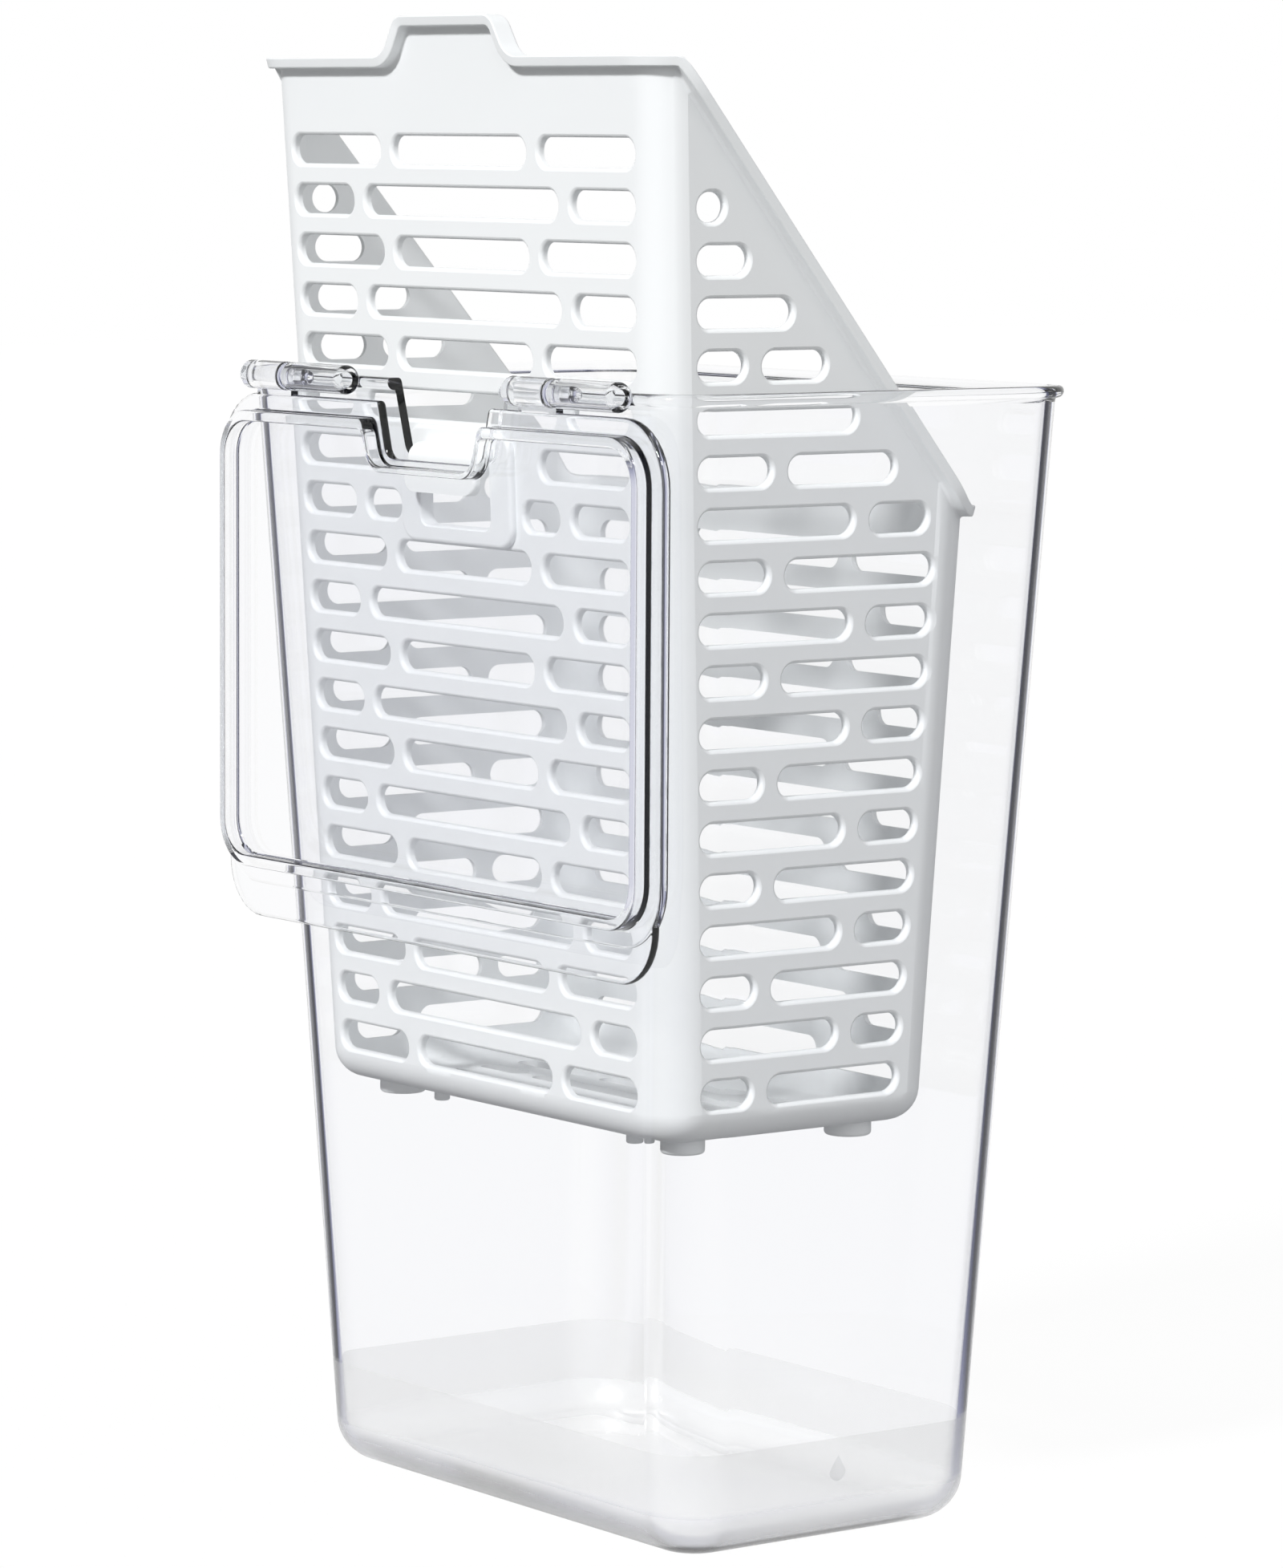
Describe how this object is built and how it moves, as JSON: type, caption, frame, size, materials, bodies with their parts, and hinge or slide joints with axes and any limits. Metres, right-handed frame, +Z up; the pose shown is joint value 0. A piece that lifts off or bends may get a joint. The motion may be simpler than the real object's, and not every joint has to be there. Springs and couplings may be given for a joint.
{
  "type": "herb keeper",
  "caption": "Clear tapered herb container with a lid hinged at the front rim, and a slotted white basket that lifts out and hooks on a notch in the rim to drain.",
  "frame": {"origin": "middle of the container's flat base", "axes": "+Z up, -Y towards the side where the hinges and the hanging lid are, +X to the right seen from that side"},
  "size_m": [0.1608, 0.114, 0.3155],
  "materials": {
    "clear_container": "polished, clear, frosted band round the base",
    "clear_lid": "polished, clear",
    "white_basket": "satin white"
  },
  "bodies": {
    "container": {"container": "clear_container"},
    "lid": {"lid": "clear_lid"},
    "basket": {"basket": "white_basket"}
  },
  "joints": [
    {"name": "lid_hinge", "type": "hinge", "parent": "container", "child": "lid", "pos_m": [0, -0.0572, 0.2393], "axis": [1, 0, 0], "range_deg": [-170, 0]},
    {"name": "basket_lift", "type": "slide", "parent": "container", "child": "basket", "axis": [0, 0, 1], "range_m": [0, 0.17]}
  ]
}
